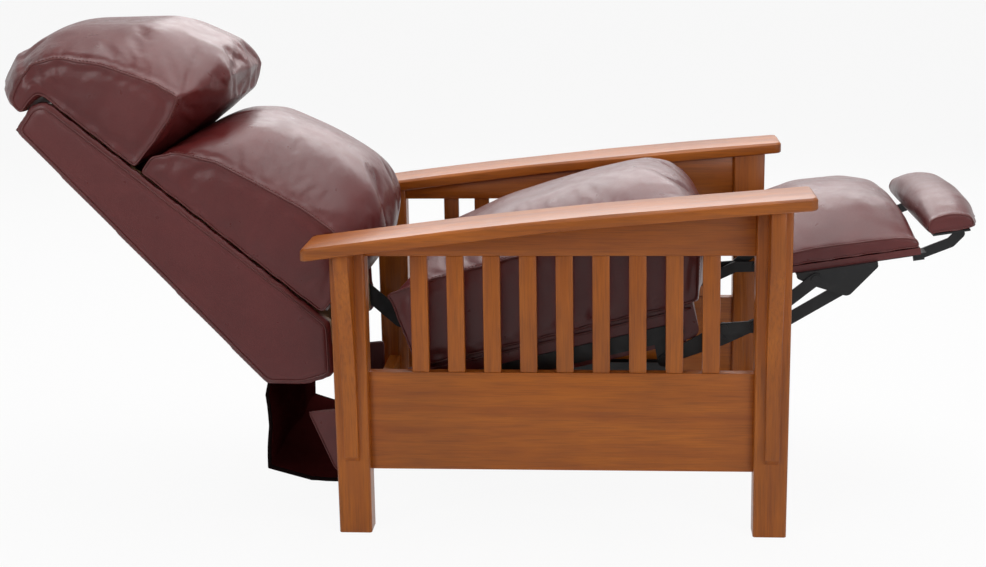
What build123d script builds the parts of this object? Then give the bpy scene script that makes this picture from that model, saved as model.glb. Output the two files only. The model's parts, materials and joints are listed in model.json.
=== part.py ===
import os
from math import atan2, cos, degrees, hypot, radians, sin

from build123d import *

os.makedirs("parts", exist_ok=True)

# Places in the side view are (x, z): x forward from the back face of the rear posts,
# z up from the floor. The origin of the part lies on the floor, mid length, mid width.
rear_face_x = -264.8

# Wooden frame
frame_length = 822.0
frame_width = 650.0
post_depth = 64.0
post_width = 48.0
post_taper = 4.0
post_edge = 3.0
lower_rail_foot = 119.0
lower_rail_height = 183.0
upper_rail_foot = 517.0
rail_thickness = 22.0
rail_setback = 16.0

# Arms
arm_width = 130.0
arm_thickness = 22.0
arm_overhang = 76.0
arm_behind_post = 38.0
arm_before_post = 33.0
arm_rear_top = 547.0
arm_front_top = 636.0
arm_bow = 8.0
arm_corner = 14.0
arm_edge = 4.0

# Stretchers between the two sides
stretcher_thickness = 22.0
front_stretcher_foot = 58.0
front_stretcher_height = 56.0
rear_stretcher_foot = 119.0
rear_stretcher_height = 56.0
rear_stretcher_inset = 20.0

# Joinery
tenon_length = 22.0
tenon_thickness = 10.0
tenon_shoulder = 12.0
joint_clearance = 0.1

# Slats
slat_count = 9
slat_width = 31.0
slat_thickness = 15.0
slat_first = 144.0
slat_last = 697.0
slat_setback = 1.5
slat_tenon = 12.0
slat_shoulder = 3.0

# Steel mechanism: flat plates beside one another, counted inwards from the outermost
plate_thickness = 3.5
plate_gap = 0.8
mechanism_half_width = 262.0
pin_radius = 5.0
pin_fit = 0.06
rivet_radius = 8.0
rivet_height = 2.0
link_width = 22.0

# Pivots of the recline linkage, with the chair laid back
front_base_pivot = (431.8, 186.0)
front_seat_pivot = (552.0, 290.0)
rear_base_pivot = (207.6, 146.0)
rear_seat_pivot = (190.0, 214.0)
back_pivot = (50.0, 262.0)

# Pivots of the footrest linkage, with the footrest up
drive_pivot = (599.8, 312.1)
lift_pivot = (701.3, 348.8)
drive_joint = (706.2, 372.7)
crossing_joint = (760.2, 376.8)
lift_joint = (807.7, 377.7)
board_rear_joint = (868.4, 464.0)
board_front_joint = (923.1, 446.8)

# Seat frame and cushion
seat_slope = 13.8
seat_frame_height = 68.0
seat_frame_rear = (150.0, 225.0)
seat_frame_length = 505.0
seat_rail_thickness = 22.0
cushion_half_width = 262.0

# Back
back_half_width = 268.0
stile_thickness = 25.0

# Footrest
footrest_corner = (775.0, 465.0)
footrest_slope = 8.6
footrest_length = 285.0
footrest_half_width = 250.0
board_thickness = 12.0

post_inner = frame_width / 2 - post_width
rail_outer = frame_width / 2 - rail_setback
rail_inner = rail_outer - rail_thickness
lower_rail_top = lower_rail_foot + lower_rail_height
front_post_x = frame_length - post_depth


# Sketches of side views lie on this plane: its x is forward, its y is up
# and it faces the right hand side of the chair.
def side_plane(y=0.0):
    return Plane(origin=(rear_face_x, -y, 0), x_dir=(1, 0, 0), z_dir=(0, -1, 0))


# The side view turned by a slope about one of its points, for tilted pieces
def tilted_plane(corner, slope, y=0.0):
    along = (cos(radians(slope)), 0, sin(radians(slope)))
    origin = (rear_face_x + corner[0], -y, corner[1])
    return Plane(origin=origin, x_dir=along, z_dir=(0, -1, 0))


def save(builder, name):
    builder.part.label = name
    export_step(builder.part, "parts/" + name + ".step")


def save_pair(builder, name):
    save(builder, name + "_right")
    with BuildPart() as left:
        mirror(builder.part, about=Plane.XZ)
    save(left, name + "_left")


def midpoint(a, b):
    return ((a[0] + b[0]) / 2, (a[1] + b[1]) / 2)


# Arms: bowed boards, wider than the posts below them
arm_start = -arm_behind_post
arm_end = frame_length + arm_before_post
arm_middle_top = (arm_rear_top + arm_front_top) / 2 + arm_bow


def arm_arc(drop=0.0):
    start = (arm_start, arm_rear_top - drop)
    crest = ((arm_start + arm_end) / 2, arm_middle_top - drop)
    return ThreePointArc(start, crest, (arm_end, arm_front_top - drop))


def cut_under_arm(drop=0.0):
    top = arm_front_top + frame_width
    with BuildSketch(side_plane()) as profile:
        with BuildLine():
            arc = arm_arc(arm_thickness + drop)
            Polyline(arc @ 0, (arm_start, top), (arm_end, top), arc @ 1)
        make_face()
    extrude(profile.sketch, amount=frame_width, both=True, mode=Mode.SUBTRACT)


arm_outer = frame_width / 2 + arm_overhang
with BuildPart() as arm:
    with BuildSketch(side_plane(arm_outer - arm_width)):
        with BuildLine():
            top_arc = arm_arc()
            under_arc = arm_arc(arm_thickness)
            Line(top_arc @ 0, under_arc @ 0)
            Line(top_arc @ 1, under_arc @ 1)
        make_face()
    extrude(amount=arm_width)
    fillet(arm.edges().filter_by(Axis.Z), radius=arm_corner)
    broad_faces = arm.faces().sort_by(SortBy.AREA)[-2:].sort_by(Axis.Z)
    chamfer(broad_faces[0].edges(), length=arm_edge / 2)
    top_face = arm.faces().sort_by(SortBy.AREA)[-1]
    chamfer(top_face.edges(), length=arm_edge)
save_pair(arm, "arm")


# Posts: tapered on their outer faces towards the foot, mortised for rails and stretchers
def rail_mortise(x, foot, height, y_inner, thickness):
    depth = tenon_length + joint_clearance
    with BuildSketch(side_plane(y_inner - joint_clearance)) as profile:
        with Locations((x + depth / 2, foot + height / 2)):
            Rectangle(depth, height + 2 * joint_clearance)
    extrude(profile.sketch, amount=thickness + 2 * joint_clearance, mode=Mode.SUBTRACT)


def stretcher_mortise(x, foot, height, thickness):
    depth = tenon_length + joint_clearance
    with BuildSketch(side_plane(post_inner)) as profile:
        with Locations((x + thickness / 2, foot + height / 2)):
            Rectangle(thickness + 2 * joint_clearance, height + 2 * joint_clearance)
    extrude(profile.sketch, amount=depth, mode=Mode.SUBTRACT)


rail_tenon_y = rail_inner + (rail_thickness - tenon_thickness) / 2
lower_tenon_foot = lower_rail_foot + tenon_shoulder
lower_tenon_height = lower_rail_height - 2 * tenon_shoulder
upper_front_tenon = 62.0
upper_rear_tenon = 12.0
upper_tenon_foot = upper_rail_foot + slat_shoulder
stretcher_tenon_inset = (stretcher_thickness - tenon_thickness) / 2


def post(x, outer_side):
    centre_y = -(post_inner + post_width / 2)
    centre_x = rear_face_x + x + post_depth / 2
    foot_x = centre_x - outer_side * post_taper / 2
    with BuildPart() as leg:
        with BuildSketch(Plane.XY):
            with Locations((foot_x, centre_y)):
                Rectangle(post_depth - post_taper, post_width)
        with BuildSketch(Plane.XY.offset(arm_front_top)):
            with Locations((centre_x, centre_y)):
                Rectangle(post_depth, post_width)
        loft()
        chamfer(leg.edges().filter_by(lambda edge: edge.length > arm_rear_top), length=post_edge)
        cut_under_arm()
    return leg


front_stretcher_x = front_post_x + (post_depth - stretcher_thickness) / 2
rear_stretcher_x = rear_stretcher_inset
with BuildPart() as front_post:
    add(post(front_post_x, 1).part)
    rail_mortise(front_post_x, lower_tenon_foot, lower_tenon_height, rail_tenon_y, tenon_thickness)
    rail_mortise(front_post_x, upper_tenon_foot, upper_front_tenon, rail_tenon_y, tenon_thickness)
    stretcher_mortise(
        front_stretcher_x + stretcher_tenon_inset,
        front_stretcher_foot + tenon_shoulder,
        front_stretcher_height - 2 * tenon_shoulder,
        tenon_thickness,
    )
save_pair(front_post, "front_post")

with BuildPart() as rear_post:
    add(post(0.0, -1).part)
    rear_mortise_x = post_depth - tenon_length - joint_clearance
    rail_mortise(rear_mortise_x, lower_tenon_foot, lower_tenon_height, rail_tenon_y, tenon_thickness)
    rail_mortise(rear_mortise_x, upper_tenon_foot, upper_rear_tenon, rail_tenon_y, tenon_thickness)
    stretcher_mortise(
        rear_stretcher_x + stretcher_tenon_inset,
        rear_stretcher_foot + tenon_shoulder,
        rear_stretcher_height - 2 * tenon_shoulder,
        tenon_thickness,
    )
save_pair(rear_post, "rear_post")


# Rails, with their tenons and the mortises of the slats
slat_pitch = (slat_last - slat_width - slat_first) / (slat_count - 1)
slat_outer = rail_outer - slat_setback
slat_inner = slat_outer - slat_thickness
slat_tenon_width = slat_width - 2 * slat_shoulder
slat_tenon_thickness = slat_thickness - 2 * slat_shoulder


def slat_positions(height):
    start = slat_first + slat_width / 2
    return [(start + i * slat_pitch, height) for i in range(slat_count)]


def slat_mortises(z):
    with BuildSketch(side_plane(slat_inner + slat_shoulder - joint_clearance)) as profile:
        with Locations(*slat_positions(z)):
            Rectangle(slat_tenon_width + 2 * joint_clearance, 2 * (slat_tenon + joint_clearance))
    extrude(profile.sketch, amount=slat_tenon_thickness + 2 * joint_clearance, mode=Mode.SUBTRACT)


def rail_tenons(foot, rear_height, front_height):
    with BuildSketch(side_plane(rail_tenon_y)) as profile:
        with Locations((post_depth - tenon_length / 2, foot + rear_height / 2)):
            Rectangle(tenon_length, rear_height)
        with Locations((front_post_x + tenon_length / 2, foot + front_height / 2)):
            Rectangle(tenon_length, front_height)
    extrude(profile.sketch, amount=tenon_thickness)


# Bolts that hold the mechanism's base channels to the lower rails
base_bolt_places = [160.0, 300.0, 440.0, 580.0]
bolt_radius = 4.0
bolt_head_radius = 7.0
bolt_head_height = 5.0
bolt_depth = 14.0
bolt_height = 146.0


def bolt_holes(y_start, depth):
    with BuildSketch(side_plane(y_start)) as profile:
        with Locations(*[(x, bolt_height) for x in base_bolt_places]):
            Circle(bolt_radius + joint_clearance)
    extrude(profile.sketch, amount=depth, mode=Mode.SUBTRACT)


with BuildPart() as lower_rail:
    with BuildSketch(side_plane(rail_inner)):
        with Locations(((post_depth + front_post_x) / 2, lower_rail_foot + lower_rail_height / 2)):
            Rectangle(front_post_x - post_depth, lower_rail_height)
    extrude(amount=rail_thickness)
    slat_mortises(lower_rail_top)
    bolt_holes(rail_inner, bolt_depth + joint_clearance)
    rail_tenons(lower_tenon_foot, lower_tenon_height, lower_tenon_height)
save_pair(lower_rail, "lower_rail")

with BuildPart() as upper_rail:
    with BuildSketch(side_plane(rail_inner)):
        with BuildLine():
            Polyline(
                (post_depth, upper_rail_foot),
                (front_post_x, upper_rail_foot),
                (front_post_x, arm_front_top),
                (post_depth, arm_front_top),
                close=True,
            )
        make_face()
    extrude(amount=rail_thickness)
    cut_under_arm()
    slat_mortises(upper_rail_foot)
    rail_tenons(upper_tenon_foot, upper_rear_tenon, upper_front_tenon)
save_pair(upper_rail, "upper_rail")

with BuildPart() as slats:
    slat_middle = (lower_rail_top + upper_rail_foot) / 2
    slat_length = upper_rail_foot - lower_rail_top
    with BuildSketch(side_plane(slat_inner)):
        with Locations(*slat_positions(slat_middle)):
            Rectangle(slat_width, slat_length)
    extrude(amount=slat_thickness)
    with BuildSketch(side_plane(slat_inner + slat_shoulder)):
        with Locations(*slat_positions(slat_middle)):
            Rectangle(slat_tenon_width, slat_length + 2 * slat_tenon)
    extrude(amount=slat_tenon_thickness)
save_pair(slats, "slats")


# Corbels: long tapered strips that carry the overhang of the arms
corbel_width = 26.0
corbel_foot = 138.0
corbel_foot_reach = 12.0
corbel_reach = 62.0
corbel_waist_height = 330.0
corbel_waist_reach = 20.0
corbel_lip = 16.0


def corbel(x):
    post_face = -frame_width / 2
    with BuildPart() as strip:
        with BuildSketch(Plane(origin=(rear_face_x + x, 0, 0), x_dir=(0, 1, 0), z_dir=(1, 0, 0))):
            with BuildLine():
                foot = (post_face - corbel_foot_reach, corbel_foot + corbel_foot_reach)
                top = arm_front_top
                Polyline(
                    foot,
                    (post_face, corbel_foot),
                    (post_face, top),
                    (post_face - corbel_reach, top),
                    (post_face - corbel_reach, arm_rear_top - arm_thickness - corbel_lip),
                )
                ThreePointArc(
                    (post_face - corbel_reach, arm_rear_top - arm_thickness - corbel_lip),
                    (post_face - corbel_waist_reach, corbel_waist_height),
                    foot,
                )
            make_face()
        extrude(amount=corbel_width)
        cut_under_arm()
    return strip


front_corbel = corbel(front_post_x + (post_depth - corbel_width) / 2)
save_pair(front_corbel, "front_corbel")
rear_corbel = corbel((post_depth - corbel_width) / 2)
save_pair(rear_corbel, "rear_corbel")


# Stretchers across the chair
def stretcher(x, foot, height):
    with BuildPart() as board:
        with BuildSketch(side_plane()):
            with Locations((x + stretcher_thickness / 2, foot + height / 2)):
                Rectangle(stretcher_thickness, height)
        extrude(amount=post_inner, both=True)
        with BuildSketch(side_plane()):
            with Locations((x + stretcher_thickness / 2, foot + height / 2)):
                Rectangle(tenon_thickness, height - 2 * tenon_shoulder)
        extrude(amount=post_inner + tenon_length, both=True)
    return board


front_stretcher = stretcher(front_stretcher_x, front_stretcher_foot, front_stretcher_height)
save(front_stretcher, "front_stretcher")
rear_stretcher = stretcher(rear_stretcher_x, rear_stretcher_foot, rear_stretcher_height)
save(rear_stretcher, "rear_stretcher")


# Mechanism plates: plane 0 is the outermost, the others follow inwards
def plate_outer(plane):
    return mechanism_half_width - plane * (plate_thickness + plate_gap)


def plate_inner(plane):
    return plate_outer(plane) - plate_thickness


# A flat bar with round ends along a chain of places
def bar(points, width=link_width):
    for a, b in zip(points, points[1:]):
        length = hypot(b[0] - a[0], b[1] - a[1])
        turn = degrees(atan2(b[1] - a[1], b[0] - a[0]))
        with Locations(midpoint(a, b)):
            SlotCenterToCenter(length, width, rotation=turn)


def pin_holes(plane, points):
    with BuildSketch(side_plane(plate_inner(plane))) as profile:
        with Locations(*points):
            Circle(pin_radius + pin_fit)
    extrude(profile.sketch, amount=plate_thickness, mode=Mode.SUBTRACT)


# A rivet stands on plate last, runs outwards through plate first and ends in a flat head
def rivet(point, first, last):
    outer = plate_outer(first)
    inner = plate_inner(last)
    with BuildSketch(side_plane(inner)) as profile:
        with Locations(point):
            Circle(pin_radius)
    extrude(profile.sketch, amount=outer - inner)
    head_gap = plate_gap / 4
    with BuildSketch(side_plane(outer + head_gap)) as profile:
        with Locations(point):
            Circle(rivet_radius)
    extrude(profile.sketch, amount=rivet_height)
    with BuildSketch(side_plane(outer)) as profile:
        with Locations(point):
            Circle(pin_radius)
    extrude(profile.sketch, amount=head_gap)


# Base channels: steel rails bolted to the lower rails, with ears for the swing links
base_start = 120.0
base_length = 500.0
base_lip = 46.0
base_wall = 3.5
ear_width = 44.0
base_plane = 0
cross_tube_place = (330.0, 150.0)
cross_tube_radius = 13.0
cross_tube_wall = 2.0

with BuildPart() as base_channel:
    channel_inner = plate_inner(base_plane)
    base_foot = lower_rail_foot
    with BuildSketch(side_plane(channel_inner)):
        with Locations((base_start + base_length / 2, base_foot + base_wall / 2)):
            Rectangle(base_length, base_wall)
    extrude(amount=rail_inner - channel_inner)
    with BuildSketch(side_plane(channel_inner)):
        with Locations((base_start + base_length / 2, base_foot + base_lip / 2)):
            Rectangle(base_length, base_lip)
        bar([(front_base_pivot[0], base_foot + ear_width / 2), front_base_pivot], ear_width)
        bar([(rear_base_pivot[0], base_foot + ear_width / 2), rear_base_pivot], ear_width)
        with Locations(cross_tube_place):
            Circle(cross_tube_radius, mode=Mode.SUBTRACT)
    extrude(amount=plate_thickness)
    with BuildSketch(side_plane(rail_inner - base_wall)):
        with Locations((base_start + base_length / 2, base_foot + base_lip / 2)):
            Rectangle(base_length, base_lip)
    extrude(amount=base_wall)
    bolt_holes(rail_inner - base_wall, base_wall)
    pin_holes(base_plane, [front_base_pivot, rear_base_pivot])
save_pair(base_channel, "base_channel")

with BuildPart() as base_bolts:
    head_face = rail_inner - base_wall
    with BuildSketch(side_plane(head_face - bolt_head_height)):
        with Locations(*[(x, bolt_height) for x in base_bolt_places]):
            RegularPolygon(bolt_head_radius, 6)
    extrude(amount=bolt_head_height)
    with BuildSketch(side_plane(head_face)):
        with Locations(*[(x, bolt_height) for x in base_bolt_places]):
            Circle(bolt_radius)
    extrude(amount=base_wall + bolt_depth)
    mirror(about=Plane.XZ)
save(base_bolts, "base_bolts")

with BuildPart() as base_cross_tube:
    with BuildSketch(side_plane()):
        with Locations(cross_tube_place):
            Circle(cross_tube_radius - joint_clearance)
            Circle(cross_tube_radius - cross_tube_wall, mode=Mode.SUBTRACT)
    extrude(amount=mechanism_half_width, both=True)
save(base_cross_tube, "base_cross_tube")


# Flat link in one plane, with round ends
def link(plane, points, holes=()):
    with BuildSketch(side_plane(plate_inner(plane))) as profile:
        bar(points)
        for place in holes:
            with Locations(place):
                Circle(pin_radius + pin_fit, mode=Mode.SUBTRACT)
    extrude(profile.sketch, amount=plate_thickness)


# Round boss or head between two distances from the middle of the chair
def boss(place, radius, y_from, y_to):
    with BuildSketch(side_plane(y_from)) as profile:
        with Locations(place):
            Circle(radius)
    extrude(profile.sketch, amount=y_to - y_from)


# Planes of the plates
swing_plane = 1
seat_plane = 2
back_plane = 3
long_plane = 0
drive_plane = 1
bracket_plane = 1
lift_plane = 3
short_plane = 4
boss_radius = 7.0
boss_gap = 0.3

# Swing links: they carry the rivets of the base pivots
with BuildPart() as front_swing_link:
    link(swing_plane, [front_base_pivot, front_seat_pivot], [front_seat_pivot])
    rivet(front_base_pivot, base_plane, swing_plane)
save_pair(front_swing_link, "front_swing_link")

with BuildPart() as rear_swing_link:
    link(swing_plane, [rear_base_pivot, rear_seat_pivot])
    rivet(rear_base_pivot, base_plane, swing_plane)
    head_start = plate_outer(swing_plane)
    boss(rear_seat_pivot, rivet_radius, head_start, head_start + rivet_height)
save_pair(rear_swing_link, "rear_swing_link")


# Seat frame, on a plane that follows its slope from the rear lower corner
def seat_side(y=0.0):
    return tilted_plane(seat_frame_rear, seat_slope, y)


def on_seat(along, above):
    turn = radians(seat_slope)
    x = seat_frame_rear[0] + along * cos(turn) - above * sin(turn)
    z = seat_frame_rear[1] + along * sin(turn) + above * cos(turn)
    return (x, z)


seat_rail_outer = plate_inner(seat_plane)
seat_rail_inner = seat_rail_outer - seat_rail_thickness
seat_front_rail_thickness = 27.0
seat_front_rail_lift = 4.0
seat_front_rail_corner = 18.0
seat_plate_width = 30.0
seat_plate_height = 24.0
seat_plate_start = 14.0
seat_plate_arm = 26.0
plate_front_lobe = 420.0
plate_rear_lobe = 48.0
plate_drive_lobe = 462.0
lift_arm_width = 18.0

with BuildPart() as seat_plate:
    with BuildSketch(side_plane(plate_inner(seat_plane))):
        rail_front = on_seat(seat_frame_length - seat_plate_width / 2, seat_plate_height)
        rail_rear = on_seat(seat_plate_start, seat_plate_height)
        bar([back_pivot, rail_rear, rail_front], seat_plate_width)
        bar([on_seat(plate_rear_lobe, seat_plate_height), rear_seat_pivot], seat_plate_arm)
        bar([on_seat(plate_front_lobe, seat_plate_height), front_seat_pivot], seat_plate_arm)
        bar([on_seat(plate_drive_lobe, seat_plate_height), drive_pivot], seat_plate_arm)
        bar([drive_pivot, lift_pivot], lift_arm_width)
    extrude(amount=plate_thickness)
    pin_holes(seat_plane, [back_pivot, drive_pivot])
    rivet(front_seat_pivot, swing_plane, seat_plane)
    boss(lift_pivot, pin_radius, plate_inner(lift_plane), plate_inner(seat_plane))
save_pair(seat_plate, "seat_plate")

with BuildPart() as seat_side_rail:
    with BuildSketch(seat_side(seat_rail_inner)):
        Rectangle(seat_frame_length, seat_frame_height, align=Align.MIN)
    extrude(amount=seat_rail_thickness)
save_pair(seat_side_rail, "seat_side_rail")

with BuildPart() as seat_front_rail:
    front_rail_height = seat_frame_height - seat_front_rail_lift
    with BuildSketch(seat_side()):
        with Locations((seat_frame_length, seat_front_rail_lift)):
            Rectangle(seat_front_rail_thickness, front_rail_height, align=Align.MIN)
    extrude(amount=seat_rail_outer, both=True)
    low_edges = seat_front_rail.edges().filter_by(Axis.Y).sort_by(Axis.X)[-2:]
    fillet(low_edges.sort_by(Axis.Z)[0], radius=seat_front_rail_corner)
save(seat_front_rail, "seat_front_rail")

with BuildPart() as seat_rear_rail:
    with BuildSketch(seat_side()):
        Rectangle(seat_rail_thickness, seat_frame_height, align=Align.MIN)
    extrude(amount=seat_rail_inner, both=True)
save(seat_rear_rail, "seat_rear_rail")

# Serpentine springs stretched between the rear and the front rail
spring_count = 4
spring_spacing = 100.0
spring_width = 50.0
spring_wire = 4.0
spring_turns = 10
spring_height = 60.0
spring_gap = 0.2

with BuildPart() as seat_springs:
    spring_start = seat_rail_thickness + spring_gap + spring_wire / 2
    spring_end = seat_frame_length - spring_gap - spring_wire / 2
    spring_step = (spring_end - spring_start) / spring_turns
    half_wave = spring_width / 2
    spring_plane = Plane(
        origin=(rear_face_x + on_seat(0, spring_height)[0], 0, on_seat(0, spring_height)[1]),
        x_dir=(cos(radians(seat_slope)), 0, sin(radians(seat_slope))),
        z_dir=(-sin(radians(seat_slope)), 0, cos(radians(seat_slope))),
    )
    with BuildSketch(spring_plane):
        for i in range(spring_count):
            across = (i - (spring_count - 1) / 2) * spring_spacing
            points = [(spring_start, across)]
            for k in range(spring_turns):
                side = half_wave if k % 2 == 0 else -half_wave
                points.append((spring_start + k * spring_step, across + side))
                points.append((spring_start + (k + 1) * spring_step, across + side))
            points.append((spring_end, across))
            for a, b in zip(points, points[1:]):
                with Locations(midpoint(a, b)):
                    Rectangle(abs(b[0] - a[0]) + spring_wire, abs(b[1] - a[1]) + spring_wire)
    extrude(amount=spring_wire)
save(seat_springs, "seat_springs")


# Soft forms: side outlines drawn at the side seams and in the middle, blended between them
station_shares = (0.0, 0.55, 0.86, 1.0)
crown_power = 3.0


def scaled(shares, length, height):
    return [(u * length, n * height) for u, n in shares]


def soft_outline(points, base):
    with BuildLine() as outline:
        Polyline(*points, *base, close=True)
    make_face(outline.edges())


def blend(side, middle, share):
    pairs = zip(side, middle)
    return [(a[0] + (b[0] - a[0]) * share, a[1] + (b[1] - a[1]) * share) for a, b in pairs]


def soft_form(plane_at, side, middle, half_width, side_base=(), middle_base=()):
    stations = [share * half_width for share in station_shares]
    places = [-y for y in reversed(stations[1:])] + stations
    sections = []
    for y in places:
        share = 1 - (abs(y) / half_width) ** crown_power
        with BuildSketch(plane_at(y)) as section:
            soft_outline(blend(side, middle, share), blend(side_base, middle_base, share))
        sections.append(section.sketch)
    loft(sections, ruled=True)


soft_gap = 0.3

# Seat cushion: shares of the seat frame's length and of the cushion's rise above the frame
seat_cushion_rise = 232.0
seat_side_shares = [
    (0.02, 0.0),
    (0.008, 0.31),
    (-0.012, 0.655),
    (0.172, 0.69),
    (0.358, 0.696),
    (0.653, 0.711),
    (0.95, 0.716),
    (1.05, 0.716),
    (1.141, 0.698),
    (1.124, 0.35),
    (1.073, 0.0),
]
seat_middle_shares = [
    (0.02, 0.0),
    (0.0, 0.31),
    (0.025, 0.63),
    (0.205, 0.817),
    (0.446, 0.948),
    (0.742, 0.992),
    (0.966, 0.995),
    (1.103, 0.94),
    (1.172, 0.74),
    (1.174, 0.38),
    (1.092, 0.0),
]


def seat_cushion_plane(y):
    return tilted_plane(on_seat(0, seat_frame_height + soft_gap), seat_slope, y)


with BuildPart() as seat_cushion:
    soft_form(
        seat_cushion_plane,
        scaled(seat_side_shares, seat_frame_length, seat_cushion_rise),
        scaled(seat_middle_shares, seat_frame_length, seat_cushion_rise),
        cushion_half_width,
    )
save(seat_cushion, "seat_cushion")


# Back frame: a wedge seen from the side, its face laid back from the lower front corner
back_face_top = (-517.0, 794.0)
back_face_slope = -39.04
back_face_length = 654.0
back_wedge_depth = 160.0
back_frame_inset = 7.0
back_corner = 14.0
back_panel_thickness = 18.6
back_panel_edge = 9.0
back_wedge_shares = [
    (0.0, 0.0),
    (1.0, 0.0),
    (1.102, -0.493),
    (1.049, -0.809),
    (0.965, -1.077),
    (-0.026, -0.516),
    (-0.031, -0.14),
]
back_rail_depth = 60.0
back_rail_thickness = 22.0
back_top_rail_drop = 14.0
back_bottom_rail_along = 668.0
back_bottom_rail_below = 128.0
outside_back_thickness = 5.0


def back_side(y=0.0):
    return tilted_plane(back_face_top, back_face_slope, y)


def on_back(along, above):
    turn = radians(back_face_slope)
    x = back_face_top[0] + along * cos(turn) - above * sin(turn)
    z = back_face_top[1] + along * sin(turn) + above * cos(turn)
    return (x, z)


wedge = scaled(back_wedge_shares, back_face_length, back_wedge_depth)
back_stile_outer = seat_rail_outer - 2 * soft_gap
back_stile_inner = back_stile_outer - stile_thickness
bracket_width = 34.0
bracket_shares = [(0.13, 0.15), (0.3, 0.37)]


def wedge_face(inset):
    with BuildSketch(back_side()) as profile:
        with BuildLine() as outline:
            Polyline(*wedge, close=True)
        make_face(outline.edges())
        fillet(profile.vertices(), radius=back_corner)
        offset(amount=-inset, mode=Mode.REPLACE)
    return profile.sketch


# Steel brackets let into the stiles: they hang the back on the seat plates
rear_low = on_back(*wedge[4])
rear_high = on_back(*wedge[5])
bracket_way = (rear_high[0] - back_pivot[0], rear_high[1] - back_pivot[1])
bracket_places = [back_pivot] + [
    (back_pivot[0] + bracket_way[0] * x_share, back_pivot[1] + bracket_way[1] * z_share)
    for x_share, z_share in bracket_shares
]

with BuildPart() as back_bracket:
    with BuildSketch(side_plane(plate_inner(back_plane))):
        bar(bracket_places, bracket_width)
    extrude(amount=plate_thickness)
    rivet(back_pivot, seat_plane, back_plane)
save_pair(back_bracket, "back_bracket")

with BuildPart() as back_stile:
    stile_face = wedge_face(back_frame_inset).moved(Location((0, -back_stile_inner, 0)))
    extrude(stile_face, amount=stile_thickness)
    recess_floor = plate_inner(back_plane) - soft_gap
    with BuildSketch(side_plane(recess_floor)):
        bar(bracket_places, bracket_width + 2 * soft_gap)
    extrude(amount=back_stile_outer - recess_floor, mode=Mode.SUBTRACT)
save_pair(back_stile, "back_stile")

with BuildPart() as back_side_panel:
    panel_inner = back_half_width - back_panel_thickness
    panel_face = wedge_face(0).moved(Location((0, -panel_inner, 0)))
    extrude(panel_face, amount=back_panel_thickness)
    outer_face = back_side_panel.faces().sort_by(Axis.Y)[0]
    chamfer(outer_face.edges(), length=back_panel_edge)
save_pair(back_side_panel, "back_side_panel")

with BuildPart() as back_top_rail:
    with BuildSketch(back_side()):
        with Locations((back_top_rail_drop, -back_frame_inset)):
            Rectangle(back_rail_thickness, back_rail_depth, align=(Align.MIN, Align.MAX))
    extrude(amount=back_stile_inner, both=True)
save(back_top_rail, "back_top_rail")

with BuildPart() as back_bottom_rail:
    with BuildSketch(back_side()):
        with Locations((back_bottom_rail_along, -back_bottom_rail_below)):
            Rectangle(back_rail_depth, back_rail_thickness, align=(Align.MAX, Align.MIN))
    extrude(amount=back_stile_inner, both=True)
save(back_bottom_rail, "back_bottom_rail")

# The outside back closes the rear of the frame between the side panels
with BuildPart() as outside_back:
    with BuildSketch(back_side()):
        with BuildLine():
            low_corner, high_corner = wedge[4], wedge[5]
            low_inside = (low_corner[0], low_corner[1] + outside_back_thickness)
            high_inside = (high_corner[0], high_corner[1] + outside_back_thickness)
            Polyline(low_corner, high_corner, high_inside, low_inside, close=True)
        make_face()
    extrude(amount=back_half_width - back_panel_thickness - soft_gap, both=True)
save(outside_back, "outside_back")

# Lumbar cushion: shares of the face's length and of the cushion's thickness
lumbar_thickness = 240.0
lumbar_side_shares = [
    (0.966, 0.0),
    (0.972, 0.09),
    (0.951, 0.21),
    (0.92, 0.42),
    (0.85, 0.579),
    (0.74, 0.567),
    (0.62, 0.512),
    (0.47, 0.437),
    (0.36, 0.3),
    (0.317, 0.16),
    (0.316, 0.0),
]
lumbar_middle_shares = [
    (0.976, 0.0),
    (0.982, 0.38),
    (0.957, 0.78),
    (0.93, 0.925),
    (0.87, 0.985),
    (0.78, 0.985),
    (0.66, 0.94),
    (0.49, 0.82),
    (0.4, 0.62),
    (0.36, 0.38),
    (0.318, 0.0),
]
pillow_thickness = 257.0
pillow_side_shares = [
    (0.306, 0.0),
    (0.306, 0.2),
    (0.302, 0.45),
    (0.285, 0.62),
    (0.2, 0.58),
    (0.06, 0.455),
    (-0.05, 0.3),
    (-0.1, 0.14),
    (-0.094, -0.05),
    (-0.085, -0.17),
    (-0.055, -0.2),
]
pillow_middle_shares = [
    (0.308, 0.0),
    (0.352, 0.45),
    (0.385, 0.8),
    (0.373, 0.965),
    (0.31, 1.0),
    (0.1, 0.87),
    (-0.12, 0.4),
    (-0.18, 0.2),
    (-0.2, 0.02),
    (-0.185, -0.22),
    (-0.135, -0.31),
]
pillow_base_shares = [(-0.034, -0.2), (-0.034, 0.0)]


def back_face_plane(y):
    return tilted_plane(on_back(0, soft_gap), back_face_slope, y)


with BuildPart() as lumbar_cushion:
    soft_form(
        back_face_plane,
        scaled(lumbar_side_shares, back_face_length, lumbar_thickness),
        scaled(lumbar_middle_shares, back_face_length, lumbar_thickness),
        cushion_half_width,
    )
save(lumbar_cushion, "lumbar_cushion")

with BuildPart() as head_pillow:
    pillow_base = scaled(pillow_base_shares, back_face_length, pillow_thickness)
    soft_form(
        back_face_plane,
        scaled(pillow_side_shares, back_face_length, pillow_thickness),
        scaled(pillow_middle_shares, back_face_length, pillow_thickness),
        cushion_half_width,
        pillow_base,
        pillow_base,
    )
save(head_pillow, "head_pillow")

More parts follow.
